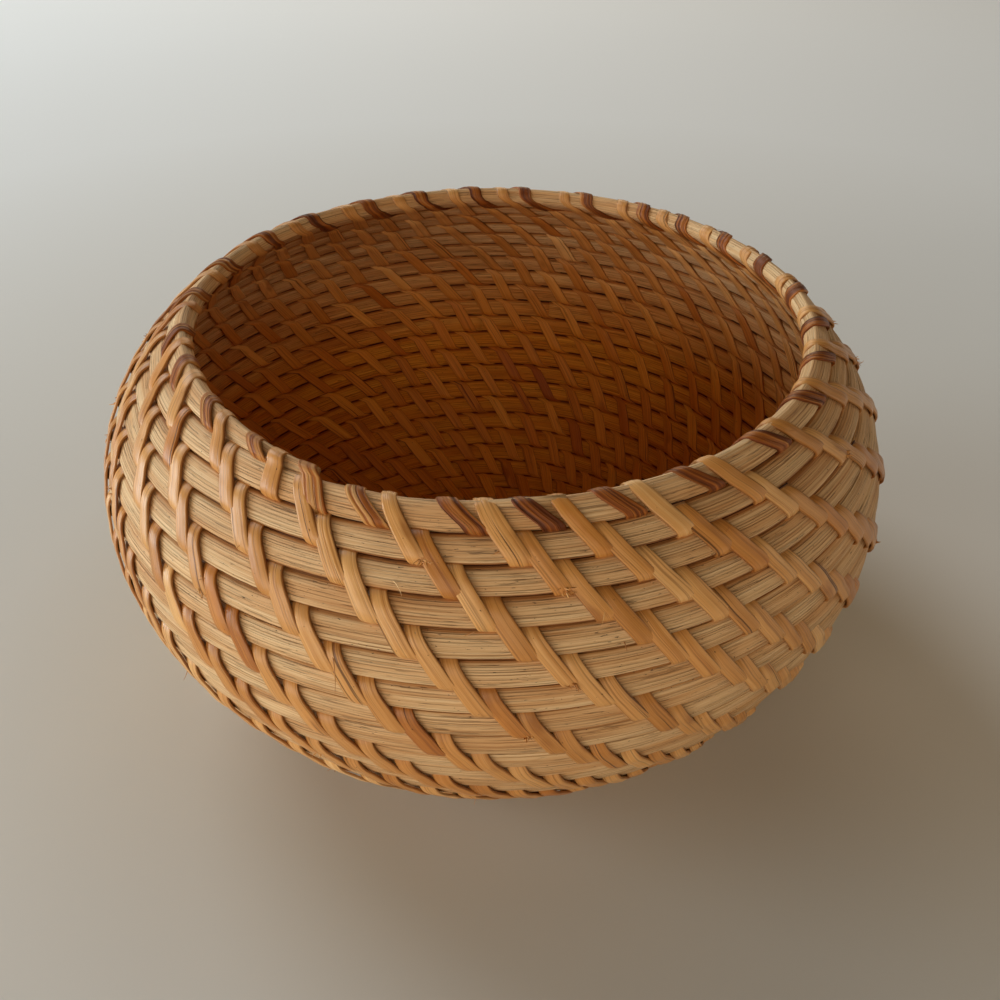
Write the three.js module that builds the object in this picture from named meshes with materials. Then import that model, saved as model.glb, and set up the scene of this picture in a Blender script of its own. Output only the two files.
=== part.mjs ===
// A round coiled rattan basket. One long core of rattan rods is coiled into a flat base and a bellied wall,
// and thin cane strips wind round every two neighbouring coils and so sew each coil to the one below.
// Millimetres, +Z up. The origin is the middle of the underside. Angle 0 is the front (-Y), and angles grow
// towards +X. The coil climbs as the angle grows, and its tapered end lies at RIM_END_ANGLE.
import * as THREE from "three";

// Shape of the basket, measured to the middle of the core.
const BELLY_RADIUS = 121.2;
const BELLY_HEIGHT = 75;
const FOOT_RADIUS = 66;
const RIM_RADIUS = 93.5;
const RIM_HEIGHT = 129.9;
const LOWER_WALL_POWER = 1.26;
const UPPER_WALL_POWER = 2.44;
const RIM_END_ANGLE = 330;

// Core: a flattened rod, with a chamfer on the upper outer edge.
const COIL_PITCH = 7.35;
const CORE_HALF_HEIGHT = 2.8;
const CORE_HALF_THICKNESS = 2.6;
const CORE_CHAMFER = 1.3;
const FIRST_COIL_RADIUS = 4.6;
const BASE_STEP_ANGLE = 22.5;
const BASE_STEP_RADIUS = 60;
const TURNS_PER_ROD = 1;
const SCARF_TIP = 0.8;
const SCARF_GAP = 0.4;
const END_TAPER_ANGLE = 38;
const END_TAPER_SHARE = 0.25;

// Binding: a cane strip, sewn with 26 stitches a turn, each a strip's width to the right of the one above.
const STITCHES_PER_TURN = 26;
const STITCH_RUN = 9.4;
const STITCH_SHIFT = 9.8;
const STRIP_WIDTH = 4.5;
const STRIP_THICKNESS = 0.9;
const STRIP_IN_GAP = 0.35;
const OUTER_CLEARANCE = 0.8;
const INNER_CLEARANCE = 0.4;
const LAST_STITCH_SET_BACK = 7;
const CORNER_SHARE = 0.49;
const BOUND_ROWS = 18;
const STRIP_END_SHARE = 0.3;

// Rim binding: short wraps round the top coil alone, each a lead to the left of a stitch at the top.
const RIM_WRAP_LEAD = 8.4;
const RIM_WRAP_RUN = 7.2;

const CORE_FINISH = { color: 0xcdaa7d, roughness: 0.8 };
const CANE_FINISH = { color: 0xc08a4b, roughness: 0.45 };
const RIM_CANE_FINISH = { color: 0x7a4321, roughness: 0.4 };

// Fineness of the profile's points, and of the gap measured between coils.
const PROFILE_STEPS = 90;
const PROFILE_PAST_RIM = 1.2;
const TANGENT_REACH = 0.5;
const GAP_STEP_ANGLE = 3;
const NEARBY = 22;

const FULL_TURN = 360;
const RAD = Math.PI / 180;

// Points of the wall's profile from the middle of the base to past the rim, with the length up to each.
function tracedProfile() {
  const points = [
    { r: 0, z: CORE_HALF_THICKNESS },
    { r: FOOT_RADIUS, z: CORE_HALF_THICKNESS },
  ];
  for (let i = 1; i <= PROFILE_STEPS; i += 1) {
    const angle = ((1 - i / PROFILE_STEPS) * Math.PI) / 2;
    const across = Math.cos(angle) ** LOWER_WALL_POWER;
    const down = Math.sin(angle) ** LOWER_WALL_POWER;
    points.push({
      r: FOOT_RADIUS + (BELLY_RADIUS - FOOT_RADIUS) * across,
      z: BELLY_HEIGHT - (BELLY_HEIGHT - CORE_HALF_THICKNESS) * down,
    });
  }
  for (let i = 1; i <= PROFILE_STEPS; i += 1) {
    const rise = (PROFILE_PAST_RIM * i) / PROFILE_STEPS;
    points.push({
      r: BELLY_RADIUS - (BELLY_RADIUS - RIM_RADIUS) * rise ** UPPER_WALL_POWER,
      z: BELLY_HEIGHT + (RIM_HEIGHT - BELLY_HEIGHT) * rise,
    });
  }
  let length = 0;
  points.forEach((point, i) => {
    if (i > 0) length += Math.hypot(point.r - points[i - 1].r, point.z - points[i - 1].z);
    point.length = length;
  });
  return points;
}

const profile = tracedProfile();

function profileAt(length) {
  let i = 1;
  while (i < profile.length - 1 && profile[i].length < length) i += 1;
  const a = profile[i - 1];
  const b = profile[i];
  const share = (length - a.length) / (b.length - a.length);
  return { r: a.r + (b.r - a.r) * share, z: a.z + (b.z - a.z) * share };
}

function lengthAtHeight(height) {
  const i = profile.findIndex((point) => point.z >= height);
  const a = profile[i - 1];
  const b = profile[i];
  return a.length + ((b.length - a.length) * (height - a.z)) / (b.z - a.z);
}

// The coil's turn angle runs from 0 at the middle of the base to COIL_END at the tapered end of the rim.
const COIL_END = (FULL_TURN * (lengthAtHeight(RIM_HEIGHT) - FIRST_COIL_RADIUS)) / COIL_PITCH;

function lengthOfCoil(turn) {
  return FIRST_COIL_RADIUS + (COIL_PITCH * turn) / FULL_TURN;
}

function radiusOfCoil(turn) {
  return profileAt(lengthOfCoil(turn)).r;
}

function endTaper(turn) {
  const left = Math.max(0, (COIL_END - turn) / END_TAPER_ANGLE);
  return Math.min(1, END_TAPER_SHARE + (1 - END_TAPER_SHARE) * left);
}

// A point beside the middle of the coil: "up" along the wall and "out" of the basket.
function besideCoil(turn, up, out) {
  const taper = endTaper(turn);
  const along = lengthOfCoil(turn) - CORE_HALF_HEIGHT + (up + CORE_HALF_HEIGHT) * taper;
  const middle = profileAt(along);
  const before = profileAt(along - TANGENT_REACH);
  const after = profileAt(along + TANGENT_REACH);
  const span = Math.hypot(after.r - before.r, after.z - before.z);
  const r = middle.r + (out * (after.z - before.z)) / span;
  const z = middle.z - (out * (after.r - before.r)) / span;
  const angle = (RIM_END_ANGLE - (COIL_END - turn)) * RAD;
  return new THREE.Vector3(r * Math.sin(angle), -r * Math.cos(angle), z);
}

// Turn angles of the stitches. The top ones are evenly spaced, and each one below comes out of the wall
// one shift to the right of the one above it.
function stitchTurns() {
  const top = COIL_END - LAST_STITCH_SET_BACK;
  const shiftAt = (turn) => STITCH_SHIFT / radiusOfCoil(turn) / RAD;
  const pitch = (FULL_TURN - shiftAt(top)) / STITCHES_PER_TURN;
  const turns = [];
  for (let i = 0; i < STITCHES_PER_TURN; i += 1) turns.push(top - i * pitch);
  for (;;) {
    const below = turns[turns.length - STITCHES_PER_TURN] - FULL_TURN;
    if (radiusOfCoil(below) < BASE_STEP_RADIUS) return turns.reverse();
    turns.push(below + shiftAt(below));
  }
}

const stitches = stitchTurns();

// Turn angles at which the core bends. Between them it runs straight, and each bend of the wall lies in
// the bare stretch between two stitches.
function coreCorners() {
  const wall = [];
  for (let i = 0; i < stitches.length - 1; i += 1) {
    wall.push(stitches[i] + CORNER_SHARE * (stitches[i + 1] - stitches[i]));
  }
  const base = [];
  for (let turn = 0; turn < wall[0] - BASE_STEP_ANGLE / 2; turn += BASE_STEP_ANGLE) base.push(turn);
  return [...base, ...wall, COIL_END];
}

const corners = coreCorners();

// A point beside the faceted core, on the straight stretch that holds this turn angle.
function besideCore(turn, up, out) {
  let low = 0;
  let high = corners.length - 1;
  while (high - low > 1) {
    const middle = (low + high) >> 1;
    if (corners[middle] <= turn) low = middle;
    else high = middle;
  }
  const share = (turn - corners[low]) / (corners[high] - corners[low]);
  return besideCoil(corners[low], up, out).lerp(besideCoil(corners[high], up, out), share);
}

// A closed tube through equal rings of points.
function tubeGeometry(rings) {
  const sides = rings[0].length;
  const positions = rings.flat().flatMap((p) => [p.x, p.y, p.z]);
  const index = [];
  for (let i = 0; i < rings.length - 1; i += 1) {
    for (let k = 0; k < sides; k += 1) {
      const a = i * sides + k;
      const b = i * sides + ((k + 1) % sides);
      index.push(a, b, b + sides, a, b + sides, a + sides);
    }
  }
  const last = (rings.length - 1) * sides;
  for (let k = 1; k < sides - 1; k += 1) {
    index.push(0, k + 1, k);
    index.push(last, last + k, last + k + 1);
  }
  const geometry = new THREE.BufferGeometry();
  geometry.setAttribute("position", new THREE.Float32BufferAttribute(positions, 3));
  geometry.setIndex(index);
  geometry.computeVertexNormals();
  return geometry;
}

// The core's section, between two depths: a scarfed end keeps only its outer or its inner part.
function coreRing(turn, inner, outer) {
  const top = CORE_HALF_HEIGHT;
  const depth = CORE_HALF_THICKNESS;
  const section = [
    [-top, -depth],
    [top, -depth],
    [top, depth - CORE_CHAMFER],
    [top - CORE_CHAMFER, depth],
    [-top, depth],
  ];
  const scale = (outer - inner) / (2 * depth);
  return section.map(([up, out]) => besideCoil(turn, up, inner + (out + depth) * scale));
}

// One rod, from corner "first" to corner "last". Its first end is the inner half of a scarf joint and its
// last end the outer half of the next one, unless that end is free.
function rodGeometry(first, last, startsFree, endsFree) {
  const depth = CORE_HALF_THICKNESS;
  const rings = [];
  for (let i = first; i <= last; i += 1) {
    let inner = -depth;
    let outer = depth;
    if (!startsFree && i === first) outer = -depth + SCARF_TIP;
    if (!startsFree && i === first + 1) outer = depth - SCARF_TIP - SCARF_GAP;
    if (!endsFree && i === last - 1) inner = -depth + SCARF_TIP + SCARF_GAP;
    if (!endsFree && i === last) inner = depth - SCARF_TIP;
    rings.push(coreRing(corners[i], inner, outer));
  }
  return tubeGeometry(rings);
}

// A point in the gap above the coil, "out" of the basket's wall middle. Over the rim there is only air.
function inGapAbove(turn, up, out) {
  const above = turn + FULL_TURN;
  if (above > COIL_END) return besideCore(turn, COIL_PITCH / 2 + up, out);
  const lower = besideCore(turn, CORE_HALF_HEIGHT + up, out);
  return lower.lerp(besideCore(above, -CORE_HALF_HEIGHT + up, out), 0.5);
}

// The strip's three-sided ring at a fold: flat towards the core and crowned away from it. The side is 1
// outside the wall and -1 inside, and the edge is 1 over the upper coil and -1 under the lower one.
function stripRing(gapTurn, edge, side) {
  const halfAngle = STRIP_WIDTH / 2 / radiusOfCoil(gapTurn) / RAD;
  const clearance = side > 0 ? OUTER_CLEARANCE : INNER_CLEARANCE;
  const near = side * (CORE_HALF_THICKNESS + clearance);
  const far = side * (CORE_HALF_THICKNESS + clearance + STRIP_THICKNESS);
  return [
    inGapAbove(gapTurn - halfAngle, -edge * STRIP_IN_GAP, near),
    inGapAbove(gapTurn + halfAngle, -edge * STRIP_IN_GAP, near),
    inGapAbove(gapTurn, edge * STRIP_IN_GAP, far),
  ];
}

function meanRing(a, b, share) {
  return a.map((point, k) => point.clone().lerp(b[k], share));
}

// One unbroken strip of stitches. Each goes over the top coil, slants down outside across "span" coils by
// "run" to the right, dives through the wall and climbs inside to the next. "lead" shifts all to the left.
function stripRings(turns, nextTurn, span, run, lead) {
  const drop = span * FULL_TURN;
  const angleOf = (length, turn) => length / radiusOfCoil(turn) / RAD;
  const topAt = (turn) => turn - angleOf(lead, turn);
  const diveAt = (turn) => topAt(turn) + angleOf(run, turn) - drop;
  const rings = [];
  turns.forEach((turn, i) => {
    const top = topAt(turn);
    const dive = diveAt(turn);
    const next = topAt(i < turns.length - 1 ? turns[i + 1] : nextTurn);
    const topInside = stripRing(top, 1, -1);
    const diveInside = stripRing(dive, -1, -1);
    if (i === 0) {
      const before = stripRing(dive - (next - top), -1, -1);
      rings.push(meanRing(topInside, before, STRIP_END_SHARE));
    }
    rings.push(topInside, stripRing(top, 1, 1), stripRing(dive, -1, 1), diveInside);
    if (i === turns.length - 1) {
      rings.push(meanRing(diveInside, stripRing(next, 1, -1), STRIP_END_SHARE));
    }
  });
  return rings;
}

// The least distance between rings of one strip that aren't neighbours, measured on their points.
function leastStripGap(rings) {
  let least = Infinity;
  for (let i = 0; i < rings.length - 2; i += 1) {
    for (let k = i + 2; k < rings.length; k += 1) {
      if (rings[i][0].distanceTo(rings[k][0]) > NEARBY) continue;
      for (const p of rings[i]) for (const q of rings[k]) least = Math.min(least, p.distanceTo(q));
    }
  }
  return least;
}

// The least distance between each coil of the core and the one above it, measured on points of their edges.
function leastCoilGap() {
  let least = Infinity;
  for (let turn = 0; turn < COIL_END - FULL_TURN; turn += GAP_STEP_ANGLE) {
    for (const out of [-CORE_HALF_THICKNESS, CORE_HALF_THICKNESS - CORE_CHAMFER]) {
      const lower = besideCore(turn, CORE_HALF_HEIGHT, out);
      const upper = besideCore(turn + FULL_TURN, -CORE_HALF_HEIGHT, out);
      least = Math.min(least, lower.distanceTo(upper));
    }
  }
  return least;
}

function named(name, geometry, finish) {
  const material = new THREE.MeshStandardMaterial({ ...finish, metalness: 0, flatShading: true });
  const mesh = new THREE.Mesh(geometry, material);
  mesh.name = name;
  return mesh;
}

function twoDigits(number) {
  return String(number).padStart(2, "0");
}

// The rods of the core, scarfed end to end: one for the base, then one turn each up to the rim.
function coreRods() {
  const rods = new THREE.Group();
  const perRod = Math.round(TURNS_PER_ROD * STITCHES_PER_TURN);
  const lastCorner = corners.length - 1;
  let first = 0;
  let last = corners.findIndex((turn) => turn > corners[0] && radiusOfCoil(turn) > FOOT_RADIUS);
  for (let number = 0; first < lastCorner; number += 1) {
    if (lastCorner - last < perRod) last = lastCorner;
    let name = "wall_core_" + twoDigits(number);
    if (first === 0) name = "base_core";
    if (last === lastCorner) name = "rim_core";
    rods.add(named(name, rodGeometry(first, last, first === 0, last === lastCorner), CORE_FINISH));
    if (last === lastCorner) break;
    first = last - 1;
    last = first + perRod;
  }
  console.log("least gap of the core between two coils, mm:", leastCoilGap().toFixed(2));
  return rods;
}

// The strips of the binding, one for each row, counted from the lowest bound row up to the rim.
function bindingStrips() {
  const strips = new THREE.Group();
  let least = Infinity;
  for (let row = 1; row <= BOUND_ROWS; row += 1) {
    const start = stitches.length - (BOUND_ROWS - row + 1) * STITCHES_PER_TURN;
    const turns = stitches.slice(start, start + STITCHES_PER_TURN);
    const next = stitches[start + STITCHES_PER_TURN] ?? COIL_END;
    const rings = stripRings(turns, next, 2, STITCH_RUN, 0);
    least = Math.min(least, leastStripGap(rings));
    strips.add(named("binding_row_" + twoDigits(row), tubeGeometry(rings), CANE_FINISH));
  }
  const turns = stitches.slice(-STITCHES_PER_TURN);
  const rings = stripRings(turns, COIL_END, 1, RIM_WRAP_RUN, RIM_WRAP_LEAD);
  least = Math.min(least, leastStripGap(rings));
  strips.add(named("rim_binding", tubeGeometry(rings), RIM_CANE_FINISH));
  console.log("least gap of a strip to itself, mm:", least.toFixed(2));
  return strips;
}

const basket = new THREE.Group();
basket.add(coreRods(), bindingStrips());

export default basket;
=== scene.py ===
import math
from collections import namedtuple

import bpy
import numpy as np
from mathutils import Matrix, Vector


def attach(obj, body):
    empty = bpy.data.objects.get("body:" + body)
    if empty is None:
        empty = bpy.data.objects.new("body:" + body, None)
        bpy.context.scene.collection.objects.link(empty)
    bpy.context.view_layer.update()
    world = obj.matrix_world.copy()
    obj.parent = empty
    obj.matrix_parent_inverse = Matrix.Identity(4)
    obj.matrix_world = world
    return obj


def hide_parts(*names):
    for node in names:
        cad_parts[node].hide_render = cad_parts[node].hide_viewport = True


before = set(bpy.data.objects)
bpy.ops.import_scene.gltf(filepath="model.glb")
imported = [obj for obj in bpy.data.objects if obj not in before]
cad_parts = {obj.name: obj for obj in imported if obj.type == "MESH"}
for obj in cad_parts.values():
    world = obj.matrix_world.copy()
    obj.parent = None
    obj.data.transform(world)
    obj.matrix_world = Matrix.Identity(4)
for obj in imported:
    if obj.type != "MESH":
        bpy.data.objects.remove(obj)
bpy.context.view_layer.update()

# Lengths are in millimetres and angles in degrees where no comment says otherwise. Angles round the basket
# count from the front, with 90 at the right.
MM = 0.001
RAD = math.pi / 180
FULL_TURN = 360.0
HALF_TURN = 180.0

# Shape of the basket, measured to the middle of the core, as in the solids.
BELLY_RADIUS = 121.2
BELLY_HEIGHT = 75.0
FOOT_RADIUS = 66.0
RIM_RADIUS = 93.5
RIM_HEIGHT = 129.9
BASE_CORE_HEIGHT = 2.6
LOWER_WALL_POWER = 1.26
UPPER_WALL_POWER = 2.44

# The coil is one spiral. It starts in the middle of the base and ends at the left of the rim.
FIRST_COIL_RADIUS = 4.6
COIL_PITCH = 7.35
RIM_END_ANGLE = 330.0

# The base lies a little higher than in the solids, so that the stitches under it clear the floor.
BASE_LIFT = 1.3
BASE_LIFT_END = 86.0

# Fineness of the wall's profile, its top as a share of the upper wall, and the reach that gives its slope.
PROFILE_STEPS = 400
PROFILE_TOP = 1.2
SLOPE_REACH = 1.5

# Least radii that lengths are turned into angles with, close to the middle of the base.
LEAST_RADIUS = 9
LEAST_SHIFT_RADIUS = 12

# The coil gets lower and thinner towards its end.
END_TAPER_ANGLE = 43.0
END_TAPER_SHARE = 0.40
END_TAPER_POWER = 0.7
END_THINNING = 0.6
COIL_TIP = 3.0

# Core rods: flattened, with a crisp lower edge and a face that leans back to a chamfered upper edge.
CORE_HALF_HEIGHT = 3.72
CORE_HALF_THICKNESS = 2.75
CORE_SQUARENESS = 4.4
CORE_LEAN = 0.95
CORE_CHAMFER = 1.3
CORE_CHAMFER_START = 0.5
CORE_SIDES = 24
CORE_CORNER_SPREAD = 0.14
TOP_COIL_CHANGE = 25.0
CORE_STEP_ANGLE = 3.0
ROD_ANGLE = 341.0
SCARF_LENGTH = 26.0
SCARF_TIP = 0.3
ROD_SEED = 11
ROD_SEED_STEP = 3

# Where a rod's section turns from the outer to the inner side, which takes the painted shade, as shares of
# its half thickness.
INNER_FACE_START = 0.5
INNER_FACE_CHANGE = 0.9

# Knot in the middle of the base. Its rings start and end off its poles by a share of the half turn.
START_KNOT_RADIUS = 5.6
START_KNOT_HALF_HEIGHT = 2.3
START_KNOT_RINGS = 12
START_KNOT_POLE = 0.02

# Slow waves along the coil: seed, size and rough wavelength in degrees.
GROOVE_WAVES = ((5, 0.22, 34), (6, 0.10, 11))
DEPTH_WAVES = ((8, 0.20, 48),)
WAVES_ADDED = 3
WAVELENGTH_SPREAD = (0.6, 1.7)
WAVE_START = (0, 7)

# Stitches: cane strips that each pass over two coils outside and climb back inside.
STITCH_RUN = 9.3
STITCH_SHIFT = 9.0
LONGEST_RUN = 0.5
LEAST_STITCH_PITCH = 13.0
STRIP_WIDTH = 5.1
STRIP_THICKNESS = 0.85
STRIP_SUNK = 0.1
STRIP_BULGE = 0.18
STRIP_LIFT = 0.28
STRIP_LIFT_REACH = 30.0
STRIP_BEND = 1.12
TOP_PINCH = 0.13
TOP_PINCH_SHARE = 0.4
LOW_PINCH = 0.04
LOW_PINCH_SHARE = 0.12
OUTSIDE_STEPS = 20
INSIDE_STEPS = 12
STRIP_SEED = 100

# How sharply a strip bends: over the top outside, at its low end, and over the top inside.
TOP_SHARPNESS = 3.5
LOW_SHARPNESS = 14.0
INNER_TOP_SHARPNESS = 6.0

# Chance in the strips: share of the run, mean and spread of the tone, share of the width, and the height of
# the ridges, which only the crown has.
RUN_SPREAD = (0.93, 1.07)
TONE_SPREAD = (0.5, 0.15)
WIDTH_SPREAD = (0.92, 1.12)
RIDGE_SPREAD = (-0.14, 0.06)
RIDGES_ABOVE = 0.9

# Waves of a strip's width: size as a share, and the length that one radian of the wave takes.
WIDTH_WAVES = ((0.04, 17), (0.03, 5.3))

# Lengths over which a strip passes from one coil to the next, and from the outer side to the inner one, which
# takes the painted shade.
COIL_CHANGE = 2
SIDE_CHANGE = 3

# Shares of a climb's run along the coil that it makes as it passes between the coils, below and above, and
# the shares of its height where the lower pass ends and the upper one starts.
STRIP_PASSES = (0.22, 0.22)
RIM_WRAP_PASSES = (0.42, 0.16)
END_WRAP_PASSES = (0.85, 0.0)
LOW_PASS_END = 0.07
TOP_PASS_START = 0.86

# Angles of the top row's stitches, from the coil's end back along the coil: the left side, the back, and the
# right side on to the front. Read from the photograph's stitches, and behind from its dark wraps.
TOP_STITCHES = (
    *(-33.7, -47.5, -61.4, -73.5, -88.5, -102.6),
    *(-117.6, -130.6, -145.0, -157.6, -170.6, -182.2, -196.8, -210.8, -221.0, -233.0, -245.5),
    *(-259.3, -272.6, -284.8, -298.4, -312.8, -327.8, -340.3, -351.7, -361.7, -375.0),
)

# Short dark wraps round the top coil, one to the left of each stitch, up to a few degrees before the coil's
# end. One more ties the end down.
RIM_WRAP_RUN = 7.9
RIM_WRAP_LEAD = 8.8
RIM_WRAP_WIDTH = 5.6
RIM_WRAP_STOP = 3
RIM_WRAP_SEED = 99
END_WRAP = 1.6
END_WRAP_RUN = 6.6
END_WRAP_BACK = 0.8
END_WRAP_SEED = 98

# Tone of the wraps, 0 dark to 1 pale, from the front round the right side and the back to the coil's end.
RIM_WRAP_TONES = (
    *(0.70, 0.46, 0.36, 0.50, 0.42, 0.36, 0.40, 0.34, 0.42),
    *(0.44, 0.42, 0.40, 0.44, 0.40, 0.42, 0.38, 0.42, 0.40),
    *(0.44, 0.42, 0.46, 0.48, 0.50, 0.48, 0.54, 0.58, 0.64),
)
END_WRAP_TONE = 0.60

# How a strip winds: the coils that it spans, its run, its longest run as a share of the way to the next
# stitch, its width and its passes.
Winding = namedtuple("Winding", "span run longest width passes")
STITCHING = Winding(2, STITCH_RUN, LONGEST_RUN, STRIP_WIDTH, STRIP_PASSES)
RIM_WRAPPING = Winding(1, RIM_WRAP_RUN, LONGEST_RUN, RIM_WRAP_WIDTH, RIM_WRAP_PASSES)
END_TYING = Winding(2, END_WRAP_RUN, None, RIM_WRAP_WIDTH, END_WRAP_PASSES)

# Loose hairs that stand off the strips: angle round the basket, height, length, heading along, up and out,
# and tone from dark to pale.
LOOSE_HAIRS = (
    (-18.9, 97.0, 10.5, (0.62, -1.0, 0.6), 0.0),
    (-12.4, 113.6, 5.4, (0.9, -0.5, 0.5), 1.0),
    (-49.5, 54.5, 8.0, (-0.3, -1.0, 0.7), 0.0),
    (14.5, 100.4, 2.6, (0.3, -1.0, 0.5), 0.0),
    (-35.2, 127.4, 3.0, (0.8, -0.6, 0.5), 0.1),
    (-3.7, 104.6, 3.4, (1.0, 0.3, 0.4), 0.3),
    (-3.9, 95.4, 3.0, (-0.9, -0.5, 0.4), 0.2),
    (-36.4, 103.4, 4.6, (-1.0, -0.5, 0.5), 0.1),
    (0.5, 119.7, 2.4, (-0.8, -0.6, 0.4), 0.3),
    (28.0, 84.0, 4.0, (1.0, -0.4, 0.4), 0.8),
)

# How deep under the core's face these hairs start.
HAIR_ROOT = 0.2

# Torn ends of strips: angle and height of the tufts that show most.
TORN_ENDS = ((-14.8, 124.4), (7.0, 114.4), (9.8, 109.0), (8.6, 93.7), (4.8, 80.7), (-35.5, 104.2))

# Chance in a tuft: the number of fibres, their places back from the strip's lower bend, across it and deep in
# it, their headings along, up and out, then their share of the radius, their length, tone and curl.
TORN_COUNT = (8, 14)
TORN_BACK = (0.0, 0.12)
TORN_MIDDLE = (-0.1, 0.3)
TORN_ACROSS = (-0.25, 0.25)
TORN_DEPTH = (0.3, 1.0)
TORN_ALONG = (0.4, 0.8)
TORN_UP = (-1.2, 0.1)
TORN_OUT = (0.0, 0.9)
TORN_RADIUS = (0.6, 1.7)
TORN_LENGTH = (0.8, 2.8)
TORN_TONE = (0, 0.8)
TORN_CURL = 1.1

# Chance in the single hairs elsewhere, and their share of the radius.
HAIR_ALONG = (0, 1)
HAIR_UP = (-0.3, 0.6)
HAIR_OUT = (0.2, 0.7)
HAIR_TONES = (0.0, 0.2, 0.9)
HAIR_LENGTH = (2.0, 5.5)
HAIR_RADIUS = 0.8

# Shares of the stitches that have a torn end or a hair, and the height that they start from.
TORN_SHARE = 0.06
HAIR_SHARE = 0.08
LOOSE_FROM_HEIGHT = 30.0

# Fibres are thin tapered tubes. Their grain is that of a strip a little off its middle, at a random place.
FIBRE_RADIUS = 0.17
FIBRE_TAPER = 0.75
FIBRE_CURL = 0.3
FIBRE_STEPS = 8
FIBRE_SIDES = 5
FIBRE_ACROSS = 0.2
FIBRE_GRAINS = (0, 50)
FIBRE_SEED = 41

# Turns of the coil, from the rim down, in which a hair's place is looked for.
TURNS_SEARCHED = 20

# Painted shade: deeper inside, the inner side is tinted a darker amber, less near the rim. The heights are in
# metres.
CORE_INSIDE_SHADE = (1.08, 0.70, 0.14, 1)
CANE_INSIDE_SHADE = (1.12, 0.88, 0.24, 1)
INSIDE_SHADE_FROM = 0.102
INSIDE_SHADE_TO = 0.058

# Camera: yaw, pitch and roll in radians, its place, its focal length as a share of the frame's width, and the
# start of its view in metres.
CAMERA_YAW = 0.006
CAMERA_PITCH = 0.656
CAMERA_ROLL = -0.003
CAMERA_DISTANCE = 281.3
CAMERA_ABOVE_BELLY = 196.1
FOCAL_SHARE = 1.0027
FRAME_WIDTH = 36
CLIP_START = 0.01

# Lights: name, azimuth from the front, elevation, power in watts and colour. These lengths and the floor's
# are in metres.
DAYLIGHT = (0.80, 0.94, 1.0)
SKYLIGHT = (0.94, 0.98, 1.0)
WARM_LIGHT = (1.0, 0.86, 0.72)
ROOM_LIGHT = (1.0, 0.80, 0.56)
LIGHT_DISTANCE = 3.0
LIGHT_SIZE = 1.8
LIGHT_AIM_HEIGHT = 0.05
LIGHTS = (
    ("window_side", -90, 6, 70, DAYLIGHT),
    ("window_front", -45, 5, 41, WARM_LIGHT),
    ("window_back", -135, 40, 36, SKYLIGHT),
    ("room_front", 0, 28, 15, ROOM_LIGHT),
    ("room_low", 0, 8, 9, ROOM_LIGHT),
    ("room_side", 90, 15, 10, ROOM_LIGHT),
    ("wall_behind", 180, 20, 18, ROOM_LIGHT),
)
ROOM_GLOW = 0.03
FLOOR_RADIUS = 8
FLOOR_SIDES = 96


def traced_profile():
    """The wall's middle line: radius, height and the length from the middle of the base to each point."""
    angle = np.linspace(math.pi / 2, 0, PROFILE_STEPS)[1:]
    lower_r = FOOT_RADIUS + (BELLY_RADIUS - FOOT_RADIUS) * np.cos(angle) ** LOWER_WALL_POWER
    drop = BELLY_HEIGHT - BASE_CORE_HEIGHT
    lower_z = BELLY_HEIGHT - drop * np.sin(angle) ** LOWER_WALL_POWER
    rise = np.linspace(0, PROFILE_TOP, PROFILE_STEPS)[1:]
    upper_r = BELLY_RADIUS - (BELLY_RADIUS - RIM_RADIUS) * rise**UPPER_WALL_POWER
    upper_z = BELLY_HEIGHT + (RIM_HEIGHT - BELLY_HEIGHT) * rise
    r = np.concatenate([[0, FOOT_RADIUS], lower_r, upper_r])
    z = np.concatenate([[BASE_CORE_HEIGHT] * 2, lower_z, upper_z])
    in_base = smooth_step((BASE_LIFT_END - r) / (BASE_LIFT_END - FOOT_RADIUS))
    z = z + BASE_LIFT * in_base * (z < BELLY_HEIGHT)
    length = np.concatenate([[0], np.cumsum(np.hypot(np.diff(r), np.diff(z)))])
    return r, z, length


def smooth_step(x):
    x = np.clip(x, 0, 1)
    return x * x * (3 - 2 * x)


PROFILE_R, PROFILE_Z, PROFILE_LENGTH = traced_profile()
RIM_LENGTH = float(np.interp(RIM_HEIGHT, PROFILE_Z[2:], PROFILE_LENGTH[2:]))
COIL_END = FULL_TURN * (RIM_LENGTH - FIRST_COIL_RADIUS) / COIL_PITCH


def on_profile(length):
    """Radius and height of the profile at a length from the middle of the base."""
    return np.interp(length, PROFILE_LENGTH, PROFILE_R), np.interp(length, PROFILE_LENGTH, PROFILE_Z)


def coil_length(turn):
    return FIRST_COIL_RADIUS + COIL_PITCH * turn / FULL_TURN


def coil_radius(turn):
    return np.interp(coil_length(turn), PROFILE_LENGTH, PROFILE_R)


def end_taper(turn):
    """Share of the full height that the coil has, less than 1 only close to its end."""
    left = smooth_step((COIL_END + COIL_TIP - turn) / END_TAPER_ANGLE) ** END_TAPER_POWER
    return END_TAPER_SHARE + (1 - END_TAPER_SHARE) * left


def round_angle(turn):
    """Angle round the basket of a turn angle along the coil."""
    return RIM_END_ANGLE - (COIL_END - turn)


def beside_coil(turn, up, out):
    """Points beside the middle of the coil, "up" along the wall and "out" of the basket, in millimetres."""
    turn, up, out = np.broadcast_arrays(np.asarray(turn, float), up, out)
    above = up + COIL_PITCH / 2
    above = np.where(above > 0, above * end_taper(turn), above)
    along = coil_length(turn) - COIL_PITCH / 2 + above
    r, z = on_profile(along)
    next_r, next_z = on_profile(along + SLOPE_REACH)
    last_r, last_z = on_profile(np.maximum(along - SLOPE_REACH, 0))
    across_r = next_r - last_r
    across_z = next_z - last_z
    span = np.hypot(across_r, across_z)
    r = r + out * across_z / span
    z = z - out * across_r / span
    angle = round_angle(turn) * RAD
    return np.stack([r * np.sin(angle), -r * np.cos(angle), z], axis=-1)


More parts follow.
